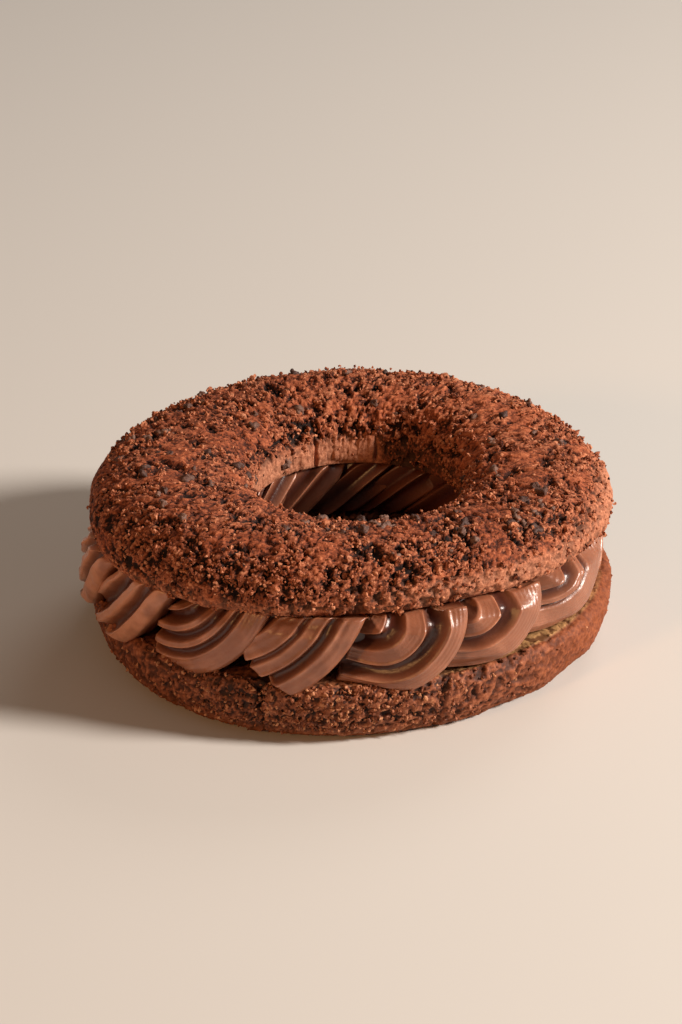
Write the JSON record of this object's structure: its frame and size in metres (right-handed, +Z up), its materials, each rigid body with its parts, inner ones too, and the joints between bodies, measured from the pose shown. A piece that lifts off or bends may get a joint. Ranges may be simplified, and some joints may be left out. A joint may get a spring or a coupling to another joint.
{
  "type": "paris brest pastry",
  "caption": "Ring-shaped filled pastry: choux base, leaning piped turns of chocolate praline cream, and a rough cocoa-crusted choux lid.",
  "frame": {"origin": "centre of the pastry's bounding box, on the surface it stands on", "axes": "+Z up along the ring's hole, -Y towards the front, +X to the right of the front"},
  "size_m": [0.0986, 0.0944, 0.0362],
  "materials": {
    "choux": "matte baked choux",
    "cream": "satin piped cream",
    "crust": "matte cocoa-dusted crust"
  },
  "bodies": {
    "root": {"choux_base": "choux", "cream_filling": "cream", "choux_lid": "crust"}
  },
  "joints": []
}
